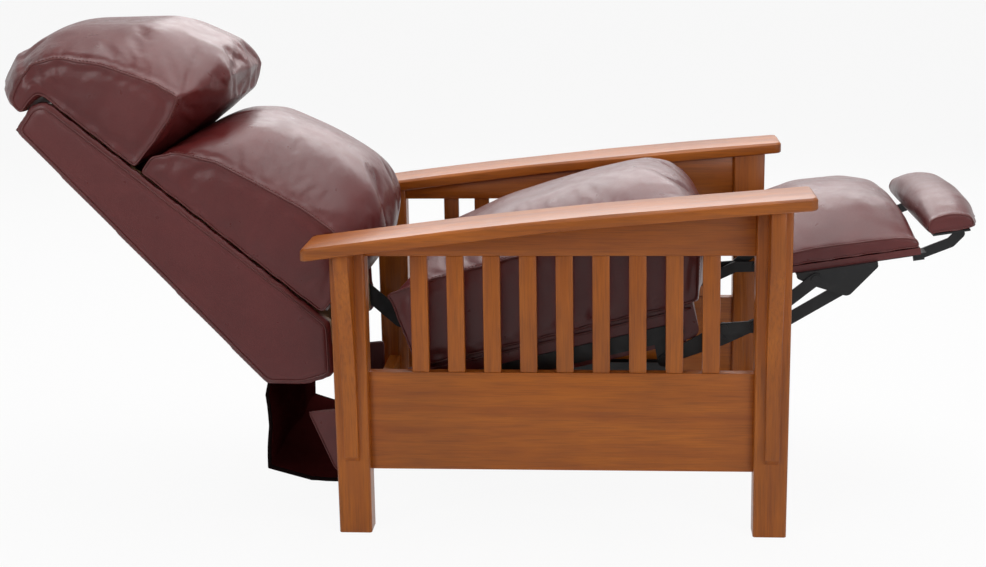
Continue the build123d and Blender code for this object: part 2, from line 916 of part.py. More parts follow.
# Flap of leather that hangs from the back and runs under it to the rear stretcher
flap_thickness = 5.0
flap_half_width = 240.0
flap_rear = -141.0
flap_foot = 66.0
flap_drop = 24.0
flap_corner_height = 91.0
gusset_thickness = 4.7
gusset_shares = [(0.51, 0.72), (0.965, 0.76), (0.965, 0.075), (0.8, 0.16)]

flap_top = (rear_low[0], rear_low[1] - flap_thickness / 2 - soft_gap)
flap_end = (rear_stretcher_x - flap_thickness / 2 - soft_gap, rear_stretcher_foot + stretcher_thickness / 4)
flap_places = [
    flap_top,
    (flap_rear, flap_top[1] - flap_drop),
    (flap_rear + flap_thickness, (flap_top[1] + flap_corner_height) / 2),
    (flap_rear, flap_corner_height + flap_thickness),
    ((flap_rear + flap_end[0]) / 2, flap_foot + flap_thickness),
    (flap_end[0] - 2 * flap_thickness, flap_foot + flap_thickness),
    flap_end,
]
with BuildPart() as rear_flap:
    with BuildSketch(side_plane()):
        bar(flap_places, flap_thickness)
    extrude(amount=flap_half_width, both=True)
save(rear_flap, "rear_flap")

with BuildPart() as rear_gussets:
    gusset_length = flap_end[0] - flap_rear
    gusset_height = flap_top[1] - flap_foot
    with BuildSketch(side_plane(flap_half_width + soft_gap)):
        with BuildLine():
            scaled_shares = scaled(gusset_shares, gusset_length, gusset_height)
            Polyline(*[(flap_rear + u, flap_foot + v) for u, v in scaled_shares], close=True)
        make_face()
    extrude(amount=gusset_thickness)
    mirror(about=Plane.XZ)
save(rear_gussets, "rear_gussets")


# Footrest linkage: flat links on each side, the drive links joined by a torque tube
def footrest_side(y=0.0):
    return tilted_plane(footrest_corner, footrest_slope, y)


def on_footrest(along, above):
    turn = radians(footrest_slope)
    x = footrest_corner[0] + along * cos(turn) - above * sin(turn)
    z = footrest_corner[1] + along * sin(turn) + above * cos(turn)
    return (x, z)


torque_tube_radius = 10.0

with BuildPart() as footrest_drive_links:
    link(drive_plane, [drive_pivot, drive_joint])
    rivet(drive_joint, long_plane, drive_plane)
    tube_end = plate_inner(seat_plane) - plate_gap
    boss(drive_pivot, torque_tube_radius, 0, tube_end)
    boss(drive_pivot, pin_radius, tube_end, plate_inner(drive_plane))
    boss(drive_pivot, rivet_radius, plate_outer(drive_plane), plate_outer(drive_plane) + rivet_height)
    mirror(about=Plane.XZ)
save(footrest_drive_links, "footrest_drive_links")

with BuildPart() as long_link:
    link(long_plane, [drive_joint, crossing_joint, board_rear_joint], [drive_joint, board_rear_joint])
    boss(crossing_joint, rivet_radius, plate_outer(long_plane), plate_outer(long_plane) + rivet_height)
save_pair(long_link, "long_link")

with BuildPart() as lift_link:
    link(lift_plane, [lift_pivot, crossing_joint, lift_joint], [lift_pivot, lift_joint])
    boss(crossing_joint, boss_radius, plate_outer(lift_plane), plate_inner(long_plane) - boss_gap)
save_pair(lift_link, "lift_link")

with BuildPart() as short_link:
    link(short_plane, [lift_joint, board_front_joint])
    rivet(lift_joint, lift_plane, short_plane)
    boss(board_front_joint, rivet_radius, plate_inner(short_plane) - rivet_height, plate_inner(short_plane))
save_pair(short_link, "short_link")

# Bar of the flipper and the lug that carries it
flipper_pivot = (284.0, -11.0)
flipper_bar_inner = 198.0
flipper_bar_thickness = 4.0
flipper_bar_width = 18.0
flipper_elbow = (344.0, 3.0)
flipper_rise = (362.0, 17.0)
flipper_pin_radius = 4.0
flipper_lift = 27.0
flipper_foot_start = 312.0
flipper_foot_length = 66.0
flipper_foot_width = 24.0

# Footrest brackets: a hanging plate, a flange under the board and a tongue with the lug
bracket_start = 60.0
bracket_length = 145.0
bracket_round = 6.0
bracket_eye = 13.0
tongue_width = 36.0
lug_width = 20.0
lug_height = 20.0
lug_inner = flipper_bar_inner + flipper_bar_thickness + plate_gap
lug_outer = lug_inner + plate_thickness
flange_inner = flipper_bar_inner + flipper_bar_thickness + plate_gap

with BuildPart() as footrest_bracket:
    with BuildSketch(side_plane(plate_inner(bracket_plane))):
        with BuildSketch(mode=Mode.PRIVATE) as eyes:
            with Locations(board_rear_joint, board_front_joint):
                Circle(bracket_eye)
            strap_ends = [bracket_start + bracket_round, bracket_start + bracket_length - bracket_round]
            with Locations(*[on_footrest(u, -bracket_round) for u in strap_ends]):
                Circle(bracket_round)
        make_hull(eyes.edges())
    extrude(amount=plate_thickness)
    with BuildSketch(footrest_side(flange_inner)):
        with Locations((bracket_start, 0)):
            Rectangle(bracket_length, plate_thickness, align=(Align.MIN, Align.MAX))
    extrude(amount=plate_outer(bracket_plane) - flange_inner)
    with BuildSketch(footrest_side(flange_inner)):
        with Locations((bracket_start + bracket_length, 0)):
            tongue_length = flipper_pivot[0] + lug_width / 2 - bracket_start - bracket_length
            Rectangle(tongue_length, plate_thickness, align=(Align.MIN, Align.MAX))
    extrude(amount=tongue_width)
    with BuildSketch(footrest_side(lug_inner)):
        with Locations((flipper_pivot[0], 0)):
            Rectangle(lug_width, lug_height, align=(Align.CENTER, Align.MAX))
        with Locations(flipper_pivot):
            Circle(flipper_pin_radius + pin_fit, mode=Mode.SUBTRACT)
    extrude(amount=plate_thickness)
    rivet(board_rear_joint, long_plane, bracket_plane)
    boss(board_front_joint, boss_radius, plate_outer(short_plane) + boss_gap, plate_inner(bracket_plane))
save_pair(footrest_bracket, "footrest_bracket")

with BuildPart() as flipper_bars:
    with BuildSketch(footrest_side(flipper_bar_inner)):
        bar([flipper_pivot, flipper_elbow, flipper_rise], flipper_bar_width)
    extrude(amount=flipper_bar_thickness)
    with BuildSketch(footrest_side(flipper_bar_inner)):
        with Locations((flipper_foot_start, flipper_lift)):
            Rectangle(flipper_foot_length, plate_thickness, align=(Align.MIN, Align.MAX))
    extrude(amount=flipper_foot_width)
    with BuildSketch(footrest_side(flipper_bar_inner + flipper_bar_thickness)):
        with Locations(flipper_pivot):
            Circle(flipper_pin_radius)
    extrude(amount=lug_outer + plate_gap / 4 - flipper_bar_inner - flipper_bar_thickness)
    with BuildSketch(footrest_side(lug_outer + plate_gap / 4)):
        with Locations(flipper_pivot):
            Circle(flipper_pin_radius + rivet_height)
    extrude(amount=rivet_height)
    mirror(about=Plane.XZ)
save(flipper_bars, "flipper_bars")

# Board and pad of the footrest
board_end_inset = 2.0

with BuildPart() as footrest_board:
    with BuildSketch(footrest_side()):
        Rectangle(footrest_length - board_end_inset, board_thickness, align=Align.MIN)
    extrude(amount=footrest_half_width - board_end_inset, both=True)
save(footrest_board, "footrest_board")

footrest_pad_rise = 104.0
pad_side_shares = [
    (-0.014, 0.0),
    (-0.026, 0.08),
    (0.0, 0.19),
    (0.36, 0.27),
    (0.7, 0.25),
    (0.9, 0.23),
    (0.992, 0.15),
    (1.006, 0.07),
    (0.996, 0.0),
]
pad_middle_shares = [
    (-0.014, 0.0),
    (-0.03, 0.42),
    (0.07, 0.8),
    (0.36, 1.0),
    (0.7, 0.95),
    (0.93, 0.72),
    (1.01, 0.3),
    (1.014, 0.14),
    (0.996, 0.0),
]


def footrest_pad_plane(y):
    return tilted_plane(on_footrest(0, board_thickness + soft_gap), footrest_slope, y)


with BuildPart() as footrest_pad:
    soft_form(
        footrest_pad_plane,
        scaled(pad_side_shares, footrest_length, footrest_pad_rise),
        scaled(pad_middle_shares, footrest_length, footrest_pad_rise),
        footrest_half_width,
    )
save(footrest_pad, "footrest_pad")

flipper_half_width = 225.0
flipper_start = 304.0
flipper_length = 102.0
flipper_pad_rise = 61.0
flipper_side_shares = [
    (0.0, 0.0),
    (-0.01, 0.25),
    (0.05, 0.46),
    (0.4, 0.57),
    (0.68, 0.48),
    (0.79, 0.36),
    (0.82, 0.2),
    (0.82, 0.1),
    (0.8, 0.0),
]
flipper_middle_shares = [
    (0.0, 0.0),
    (-0.07, 0.5),
    (0.03, 0.88),
    (0.39, 1.0),
    (0.76, 0.88),
    (1.0, 0.55),
    (1.05, 0.15),
    (1.04, 0.05),
    (1.01, 0.0),
]


def flipper_pad_plane(y):
    return tilted_plane(on_footrest(flipper_start, flipper_lift + soft_gap), footrest_slope, y)


with BuildPart() as flipper_pad:
    soft_form(
        flipper_pad_plane,
        scaled(flipper_side_shares, flipper_length, flipper_pad_rise),
        scaled(flipper_middle_shares, flipper_length, flipper_pad_rise),
        flipper_half_width,
    )
save(flipper_pad, "flipper_pad")
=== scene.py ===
import json
import math
import bpy
import bmesh
from mathutils import Matrix, Vector, noise as fractal
from mathutils.bvhtree import BVHTree
from mathutils.kdtree import KDTree


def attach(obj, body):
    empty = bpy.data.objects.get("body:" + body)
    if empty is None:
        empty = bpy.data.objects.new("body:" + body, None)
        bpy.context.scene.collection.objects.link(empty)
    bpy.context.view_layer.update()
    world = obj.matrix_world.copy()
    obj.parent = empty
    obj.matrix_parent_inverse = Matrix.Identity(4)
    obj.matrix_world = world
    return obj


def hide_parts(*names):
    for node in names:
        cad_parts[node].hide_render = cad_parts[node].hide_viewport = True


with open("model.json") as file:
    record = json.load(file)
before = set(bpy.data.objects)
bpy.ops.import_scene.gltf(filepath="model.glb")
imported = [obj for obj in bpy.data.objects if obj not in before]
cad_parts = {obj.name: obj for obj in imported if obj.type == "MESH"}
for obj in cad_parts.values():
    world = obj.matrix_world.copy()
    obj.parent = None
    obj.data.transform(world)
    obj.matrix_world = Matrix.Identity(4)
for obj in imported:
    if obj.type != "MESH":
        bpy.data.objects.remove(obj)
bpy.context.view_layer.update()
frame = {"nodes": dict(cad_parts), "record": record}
nodes = frame["nodes"]
print("frame loaded", len(nodes), "nodes")

# Side view of the chair: x forward from the rear posts' back face, z up, in millimetres
rearFace = -264.8


def place(x, z, y=0.0):
    return Vector(((rearFace + x) / 1000, y / 1000, z / 1000))


def deselectAll():
    for obj in bpy.context.selected_objects:
        obj.select_set(False)


def makeActive(obj):
    deselectAll()
    obj.select_set(True)
    bpy.context.view_layer.objects.active = obj


def applyAll(obj):
    makeActive(obj)
    for modifier in list(obj.modifiers):
        bpy.ops.object.modifier_apply(modifier=modifier.name)


# Shared effects
def newGroup(name, inputs, outputs):
    group = bpy.data.node_groups.new(name, "ShaderNodeTree")
    for kind, label in inputs:
        group.interface.new_socket(name=label, in_out="INPUT", socket_type=kind)
    for kind, label in outputs:
        group.interface.new_socket(name=label, in_out="OUTPUT", socket_type=kind)
    return group, group.nodes.new("NodeGroupInput"), group.nodes.new("NodeGroupOutput")


def noise(tree, vector, scale, detail=4.0, rough=0.55, distortion=0.0):
    node = tree.nodes.new("ShaderNodeTexNoise")
    node.inputs["Scale"].default_value = scale
    node.inputs["Detail"].default_value = detail
    node.inputs["Roughness"].default_value = rough
    node.inputs["Distortion"].default_value = distortion
    tree.links.new(vector, node.inputs["Vector"])
    return node.outputs["Fac"]


def mapRange(tree, value, low, high, toLow, toHigh):
    node = tree.nodes.new("ShaderNodeMapRange")
    node.inputs["From Min"].default_value = low
    node.inputs["From Max"].default_value = high
    node.inputs["To Min"].default_value = toLow
    node.inputs["To Max"].default_value = toHigh
    tree.links.new(value, node.inputs["Value"])
    return node.outputs["Result"]


def mixColor(tree, factor, first, second, blend="MIX"):
    node = tree.nodes.new("ShaderNodeMix")
    node.data_type = "RGBA"
    node.blend_type = blend
    for index, value in ((0, factor), (6, first), (7, second)):
        if isinstance(value, (int, float)):
            node.inputs[index].default_value = value
        elif isinstance(value, tuple):
            node.inputs[index].default_value = (*value, 1.0)
        else:
            tree.links.new(value, node.inputs[index])
    return node.outputs[2]


def calc(tree, operation, first, second):
    node = tree.nodes.new("ShaderNodeMath")
    node.operation = operation
    for index, value in ((0, first), (1, second)):
        if isinstance(value, (int, float)):
            node.inputs[index].default_value = value
        else:
            tree.links.new(value, node.inputs[index])
    return node.outputs[0]


def buildGrainGroup():
    # x of Vector runs along the grain
    group, entry, leave = newGroup(
        "woodGrain",
        [("NodeSocketVector", "Vector"), ("NodeSocketColor", "Dark"), ("NodeSocketColor", "Light")],
        [("NodeSocketColor", "Color"), ("NodeSocketFloat", "Roughness"), ("NodeSocketFloat", "Height")],
    )
    vector = entry.outputs["Vector"]
    stretch = group.nodes.new("ShaderNodeVectorMath")
    stretch.operation = "MULTIPLY"
    stretch.inputs[1].default_value = (1.1, 15.0, 15.0)
    group.links.new(vector, stretch.inputs[0])
    figure = noise(group, stretch.outputs[0], 2.4, 5.0, 0.5, 0.6)
    rings = noise(group, stretch.outputs[0], 11.0, 6.0, 0.62, 0.3)
    pores = group.nodes.new("ShaderNodeVectorMath")
    pores.operation = "MULTIPLY"
    pores.inputs[1].default_value = (14.0, 420.0, 420.0)
    group.links.new(vector, pores.inputs[0])
    pore = mapRange(group, noise(group, pores.outputs[0], 1.0, 2.0, 0.6), 0.3, 0.52, 0.0, 1.0)
    tone = calc(group, "ADD", calc(group, "MULTIPLY", figure, 0.62), calc(group, "MULTIPLY", rings, 0.38))
    tone = mapRange(group, tone, 0.3, 0.7, 0.0, 1.0)
    color = mixColor(group, tone, entry.outputs["Dark"], entry.outputs["Light"])
    shade = mixColor(group, mapRange(group, pore, 0.0, 1.0, 0.3, 0.0), color, (0.09, 0.026, 0.007))
    broad = mapRange(group, noise(group, vector, 3.5, 3.0), 0.3, 0.7, 0.84, 1.12)
    gray = group.nodes.new("ShaderNodeCombineColor")
    for index in range(3):
        group.links.new(broad, gray.inputs[index])
    final = mixColor(group, 1.0, shade, gray.outputs[0], "MULTIPLY")
    group.links.new(final, leave.inputs["Color"])
    group.links.new(mapRange(group, rings, 0.3, 0.7, 0.34, 0.46), leave.inputs["Roughness"])
    relief = calc(group, "ADD", calc(group, "MULTIPLY", pore, 0.5), calc(group, "MULTIPLY", rings, 0.5))
    group.links.new(relief, leave.inputs["Height"])
    return group


def buildHideGroup():
    group, entry, leave = newGroup(
        "hideGrain",
        [("NodeSocketVector", "Vector"), ("NodeSocketColor", "Base"), ("NodeSocketColor", "Worn")],
        [("NodeSocketColor", "Color"), ("NodeSocketFloat", "Roughness"), ("NodeSocketFloat", "Height")],
    )
    vector = entry.outputs["Vector"]
    cells = group.nodes.new("ShaderNodeTexVoronoi")
    cells.feature = "DISTANCE_TO_EDGE"
    cells.inputs["Scale"].default_value = 560.0
    group.links.new(vector, cells.inputs["Vector"])
    pebble = mapRange(group, cells.outputs["Distance"], 0.0, 0.28, 0.0, 1.0)
    fine = noise(group, vector, 900.0, 2.0)
    cloud = noise(group, vector, 7.0, 5.0, 0.6, 0.4)
    wear = mapRange(group, cloud, 0.38, 0.72, 0.0, 1.0)
    color = mixColor(group, wear, entry.outputs["Base"], entry.outputs["Worn"])
    # Painted shade: the grain's valleys, at the cell edges, are darkened toward near-black
    valleyShade = mixColor(group, mapRange(group, pebble, 0.0, 1.0, 0.35, 0.0), color, (0.02, 0.004, 0.004))
    group.links.new(valleyShade, leave.inputs["Color"])
    spread = noise(group, vector, 38.0, 4.0)
    group.links.new(mapRange(group, spread, 0.3, 0.7, 0.27, 0.4), leave.inputs["Roughness"])
    height = calc(group, "ADD", calc(group, "MULTIPLY", pebble, 0.8), calc(group, "MULTIPLY", fine, 0.3))
    group.links.new(height, leave.inputs["Height"])
    return group


def buildSteelGroup():
    group, entry, leave = newGroup(
        "blackCoat",
        [("NodeSocketVector", "Vector"), ("NodeSocketColor", "Base"), ("NodeSocketColor", "Dust")],
        [("NodeSocketColor", "Color"), ("NodeSocketFloat", "Roughness"), ("NodeSocketFloat", "Height")],
    )
    vector = entry.outputs["Vector"]
    dust = mapRange(group, noise(group, vector, 26.0, 6.0, 0.65), 0.5, 0.8, 0.0, 0.6)
    color = mixColor(group, dust, entry.outputs["Base"], entry.outputs["Dust"])
    group.links.new(color, leave.inputs["Color"])
    spread = noise(group, vector, 60.0, 4.0)
    group.links.new(mapRange(group, spread, 0.3, 0.7, 0.3, 0.48), leave.inputs["Roughness"])
    group.links.new(noise(group, vector, 1400.0, 2.0), leave.inputs["Height"])
    return group


grainGroup = buildGrainGroup()
hideGroup = buildHideGroup()
steelGroup = buildSteelGroup()


def finishMaterial(name, group, colors, turn=(0, 0, 0), bump=0.1, bumpDistance=0.0006, **shader):
    material = bpy.data.materials.new(name)
    material.use_nodes = True
    tree = material.node_tree
    principled = tree.nodes["Principled BSDF"]
    where = tree.nodes.new("ShaderNodeTexCoord")
    mapping = tree.nodes.new("ShaderNodeMapping")
    mapping.inputs["Rotation"].default_value = turn
    tree.links.new(where.outputs["Object"], mapping.inputs["Vector"])
    effect = tree.nodes.new("ShaderNodeGroup")
    effect.node_tree = group
    tree.links.new(mapping.outputs["Vector"], effect.inputs["Vector"])
    for label, value in colors.items():
        effect.inputs[label].default_value = (*value, 1.0)
    relief = tree.nodes.new("ShaderNodeBump")
    relief.inputs["Strength"].default_value = bump
    relief.inputs["Distance"].default_value = bumpDistance
    tree.links.new(effect.outputs["Height"], relief.inputs["Height"])
    tree.links.new(relief.outputs["Normal"], principled.inputs["Normal"])
    tree.links.new(effect.outputs["Color"], principled.inputs["Base Color"])
    tree.links.new(effect.outputs["Roughness"], principled.inputs["Roughness"])
    for label, value in shader.items():
        principled.inputs[label.replace("_", " ")].default_value = value
    return material


quarter = math.pi / 2
woodTones = {"Dark": (0.285, 0.066, 0.0048), "Light": (0.5, 0.142, 0.0105)}
woodCoat = {"Coat_Weight": 0.16, "Coat_Roughness": 0.2, "Specular_IOR_Level": 0.34}
woodAlong = finishMaterial("oakAlong", grainGroup, woodTones, (0, 0, 0), 0.2, 0.0005, **woodCoat)
woodUpright = finishMaterial("oakUpright", grainGroup, woodTones, (0, quarter, 0), 0.2, 0.0005, **woodCoat)
woodAcross = finishMaterial("oakAcross", grainGroup, woodTones, (0, 0, quarter), 0.2, 0.0005, **woodCoat)
plainTones = {"Dark": (0.34, 0.2, 0.09), "Light": (0.55, 0.37, 0.2)}
plainWood = finishMaterial("frameWood", grainGroup, plainTones, (0, 0, 0), 0.3, 0.0006)
hideCoat = {"Coat_Weight": 0.14, "Coat_Roughness": 0.2, "Specular_IOR_Level": 0.34}
hideTones = {"Base": (0.128, 0.016, 0.0158), "Worn": (0.17, 0.026, 0.025)}
leather = finishMaterial("burgundyHide", hideGroup, hideTones, (0, 0, 0), 0.28, 0.0005, **hideCoat)
backShine = {"Specular_IOR_Level": 0.15}
backHide = finishMaterial("outsideHide", hideGroup, hideTones, (0, 0, 0), 0.28, 0.0005, **backShine)
pipingTones = {"Base": (0.125, 0.02, 0.018), "Worn": (0.17, 0.035, 0.031)}
pipingHide = finishMaterial("pipingHide", hideGroup, pipingTones, (0, 0, 0), 0.1, 0.0004, **hideCoat)
# Painted shade: the flap behind the seat is the same red leather, given a near-black red for the shade it
# lies in
flapShadeTones = {"Base": (0.036, 0.005, 0.005), "Worn": (0.055, 0.008, 0.008)}
dull = {"Specular_IOR_Level": 0.0}
shadedFlapHide = finishMaterial("flapLining", hideGroup, flapShadeTones, (0, 0, 0), 0.3, 0.0006, **dull)
hemTones = {"Base": (0.006, 0.005, 0.005), "Worn": (0.011, 0.009, 0.009)}
blackHem = finishMaterial("blackHem", hideGroup, hemTones, (0, 0, 0), 0.2, 0.0005, **dull)
threadTones = {"Base": (0.2, 0.045, 0.038), "Worn": (0.26, 0.07, 0.06)}
thread = finishMaterial("stitchThread", hideGroup, threadTones, (0, 0, 0), 0.2, 0.0002)
steelTones = {"Base": (0.011, 0.011, 0.012), "Dust": (0.03, 0.03, 0.031)}
steelShine = {"Specular_IOR_Level": 0.3}
blackSteel = finishMaterial("blackSteel", steelGroup, steelTones, (0, 0, 0), 0.08, 0.0003, **steelShine)
springTones = {"Base": (0.16, 0.16, 0.165), "Dust": (0.24, 0.23, 0.21)}
springShine = {"Metallic": 0.9}
springSteel = finishMaterial("springSteel", steelGroup, springTones, (0, 0, 0), 0.05, 0.0002, **springShine)
print("materials made")


# Copies of CAD nodes that get a finer form
def copyOf(node, name):
    obj = nodes[node].copy()
    obj.data = nodes[node].data.copy()
    obj.name = name
    obj.data.name = name
    obj.parent = None
    obj.matrix_world = Matrix.Identity(4)
    bpy.context.scene.collection.objects.link(obj)
    obj.hide_render = False
    obj.hide_set(False)
    mesh = bmesh.new()
    mesh.from_mesh(obj.data)
    bmesh.ops.remove_doubles(mesh, verts=mesh.verts, dist=0.00002)
    bmesh.ops.recalc_face_normals(mesh, faces=mesh.faces)
    mesh.to_mesh(obj.data)
    mesh.free()
    return obj


def coat(obj, material):
    obj.data.materials.clear()
    obj.data.materials.append(material)


def camelName(node):
    words = node.split("_")
    return words[0] + "".join(word.capitalize() for word in words[1:])


bodyOf = {}
for body, members in frame["record"]["behaviour"]["bodies"].items():
    for node in members:
        bodyOf[node] = body

# Boards of the frame: their edges are eased by hand
woodGrains = {
    "front_post": woodUpright, "rear_post": woodUpright, "slats": woodUpright,
    "front_corbel": woodUpright, "rear_corbel": woodUpright,
    "arm": woodAlong, "upper_rail": woodAlong, "lower_rail": woodAlong,
    "front_stretcher": woodAcross, "rear_stretcher": woodAcross,
}
easing = {"width": 0.0014, "segments": 2, "angle": 32}
for node in list(nodes):
    kind = node.replace("_right", "").replace("_left", "")
    if kind in woodGrains:
        board = copyOf(node, camelName(node))
        flat = board.modifiers.new("flat", "DECIMATE")
        flat.decimate_type = "DISSOLVE"
        flat.angle_limit = math.radians(1)
        bevel = board.modifiers.new("eased", "BEVEL")
        bevel.width = easing["width"]
        bevel.segments = easing["segments"]
        bevel.limit_method = "ANGLE"
        bevel.angle_limit = math.radians(easing["angle"])
        applyAll(board)
        coat(board, woodGrains[kind])
        bpy.ops.object.shade_smooth_by_angle(angle=math.radians(30))
        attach(board, bodyOf[node])
        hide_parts(node)
print("boards eased")

# Nodes that keep their CAD mesh and only get a finish
for node, obj in nodes.items():
    if node == "seat_springs":
        coat(obj, springSteel)
    elif node == "outside_back":
        coat(obj, backHide)
    elif node.startswith(("seat_side_rail", "seat_front_rail", "footrest_board")):
        coat(obj, leather)
    elif node.startswith(("seat_rear_rail", "back_stile", "back_top", "back_bottom")):
        coat(obj, plainWood)
    else:
        coat(obj, blackSteel)
print("rigid nodes finished")


# Rims of the flat side faces, where the seams run
def sideRims(obj, halfWidth, band=0.0006):
    mesh = bmesh.new()
    mesh.from_mesh(obj.data)
    rims = []
    for side in (-1, 1):
        flat = {f for f in mesh.faces if all(abs(side * v.co.y - halfWidth) < band for v in f.verts)}
        neighbours = {}
        for edge in mesh.edges:
            if len([f for f in edge.link_faces if f in flat]) == 1:
                first, second = edge.verts
                neighbours.setdefault(first, []).append(second)
                neighbours.setdefault(second, []).append(first)
        if not neighbours:
            continue
        start = next(iter(neighbours))
        way, before, here = [start], None, start
        while True:
            ahead = [v for v in neighbours[here] if v is not before]
            if not ahead or ahead[0] is start or len(way) > len(neighbours):
                break
            before, here = here, ahead[0]
            way.append(here)
        rims.append([v.co.copy() for v in way])
    mesh.free()
    return rims


# The same line with points at even distances
def evenly(points, step, closed=True):
    line = points + [points[0]] if closed else points
    lengths = [0.0]
    for a, b in zip(line, line[1:]):
        lengths.append(lengths[-1] + (b - a).length)
    count = max(4, round(lengths[-1] / step))
    result, index = [], 0
    for i in range(count if closed else count + 1):
        goal = lengths[-1] * i / count
        while index < len(lengths) - 2 and lengths[index + 1] < goal:
            index += 1
        span = max(lengths[index + 1] - lengths[index], 1e-9)
        result.append(line[index].lerp(line[index + 1], min(1.0, (goal - lengths[index]) / span)))
    return result


# A closed line with its corners rounded off
def softened(points, rounds=2):
    for _ in range(rounds):
        last = len(points)
        fresh = []
        for i, point in enumerate(points):
            fresh.append(point * 0.5 + (points[i - 1] + points[(i + 1) % last]) * 0.25)
        points = fresh
    return points


def tubes(name, lines, radius, material, closed=True):
    curve = bpy.data.curves.new(name, "CURVE")
    curve.dimensions = "3D"
    curve.bevel_depth = radius
    curve.bevel_resolution = 1
    curve.use_fill_caps = True
    for line in lines:
        spline = curve.splines.new("POLY")
        spline.points.add(len(line) - 1)
        for target, point in zip(spline.points, line):
            target.co = (*point, 1.0)
        spline.use_cyclic_u = closed
    obj = bpy.data.objects.new(name, curve)
    bpy.context.scene.collection.objects.link(obj)
    makeActive(obj)
    bpy.ops.object.convert(target="MESH")
    obj = bpy.context.view_layer.objects.active
    coat(obj, material)
    bpy.ops.object.shade_smooth()
    return obj


def seamFinder(lines):
    tree = KDTree(sum(len(line) for line in lines))
    index = 0
    for line in lines:
        for point in line:
            tree.insert(point, index)
            index += 1
    tree.balance()
    return tree


def surfaceTree(obj):
    mesh = bmesh.new()
    mesh.from_mesh(obj.data)
    tree = BVHTree.FromBMesh(mesh)
    mesh.free()
    return tree


def laidOn(points, tree, lift):
    result = []
    for point in points:
        where, normal, _, _ = tree.find_nearest(point)
        result.append(where + normal * lift)
    return result


# Stuffing: the cover is blown up as cloth, held at its seams and where it rests
def stuff(obj, cushion, held):
    makeActive(obj)
    remesh = obj.modifiers.new("remesh", "REMESH")
    remesh.mode = "VOXEL"
    remesh.voxel_size = cushion["voxel"]
    bpy.ops.object.modifier_apply(modifier=remesh.name)
    holds = [held(v.co) for v in obj.data.vertices]
    loose = obj.vertex_groups.new(name="loose")
    pinned = obj.vertex_groups.new(name="pinned")
    for index, hold in enumerate(holds):
        loose.add([index], 1.0 - hold, "REPLACE")
        if hold > 0.5:
            pinned.add([index], 1.0, "REPLACE")
    relax = obj.modifiers.new("relax", "SMOOTH")
    relax.factor = 0.5
    relax.iterations = cushion["relax"]
    relax.vertex_group = "loose"
    bpy.ops.object.modifier_apply(modifier=relax.name)
    smaller = obj.modifiers.new("smaller", "DISPLACE")
    smaller.mid_level = 0.0
    smaller.strength = -cushion["smaller"]
    smaller.vertex_group = "loose"
    bpy.ops.object.modifier_apply(modifier=smaller.name)
    rest = [v.co.copy() for v in obj.data.vertices]
    cloth = obj.modifiers.new("cloth", "CLOTH")
    settings = cloth.settings
    settings.use_pressure = True
    settings.uniform_pressure_force = cushion["pressure"]
    settings.effector_weights.gravity = 0.0
    settings.quality = cushion["quality"]
    settings.mass = cushion["mass"]
    settings.tension_stiffness = cushion["stretch"]
    settings.compression_stiffness = cushion["stretch"]
    settings.shear_stiffness = cushion["stretch"] / 2
    settings.bending_stiffness = cushion["bending"]
    settings.shrink_min = -cushion["slack"]
    settings.vertex_group_mass = "pinned"
    cloth.point_cache.frame_start = 1
    cloth.point_cache.frame_end = cushion["frames"]
    for step in range(1, cushion["frames"] + 1):
        bpy.context.scene.frame_set(step)
    shaped = obj.evaluated_get(bpy.context.evaluated_depsgraph_get()).data
    moved = [v.co.copy() for v in shaped.vertices]
    obj.modifiers.remove(cloth)
    bpy.context.scene.frame_set(1)
    for vertex, start, end in zip(obj.data.vertices, rest, moved):
        shift = end - start
        if shift.length > cushion["cap"]:
            shift *= cushion["cap"] / shift.length
        if abs(start.y) > cushion["half"] - cushion["sideBand"]:
            shift.y = max(-cushion["sideCap"], min(cushion["sideCap"], shift.y))
        vertex.co = start + shift
    obj.vertex_groups.clear()
    finer = obj.modifiers.new("finer", "SUBSURF")
    finer.levels = finer.render_levels = 1
    applyAll(obj)
    makeActive(obj)
    bpy.ops.object.shade_smooth()


# The seams pull the cover in and send short folds away from them
def sewSeams(obj, seams, cushion):
    width, depth, reach = cushion["seamBand"], cushion["seamDepth"], cushion["foldReach"]
    shift = Vector((cushion["seed"], cushion["seed"], cushion["seed"]))
    gathers = cushion.get("gathers")
    normals = [vertex.normal.copy() for vertex in obj.data.vertices]
    for vertex, normal in zip(obj.data.vertices, normals):
        point, _, distance = seams.find(vertex.co)
        if distance < reach * 3:
            size = cushion["fold"]
            if gathers:
                away = (point - gathers["at"]).length / gathers["spread"]
                size += gathers["size"] * math.exp(-(away ** 2))
            where = point * cushion["foldCount"] + shift
            wave = fractal.noise(where) + 0.4 * fractal.noise(where * 2.1)
            rise = (distance / reach) * math.exp(1 - distance / reach)
            vertex.co += normal * (size * wave * rise - depth * math.exp(-((distance / width) ** 2)))
    obj.data.update()


# Short stitches that follow a seam on the crown's side
def stitchLines(rim, tree, inset, stitch, gap):
    middle = sum(rim, Vector()) / len(rim)
    side = -1 if middle.y < 0 else 1
    shifted = [point - Vector((0, side * inset, 0)) for point in rim]
    laid = softened(laidOn(shifted, tree, 0.0005), 1)
    fine = evenly(laid, (stitch + gap) / 4)
    lines = []
    for i in range(0, len(fine) - 4, 4):
        lines.append(fine[i:i + 3])
    return lines


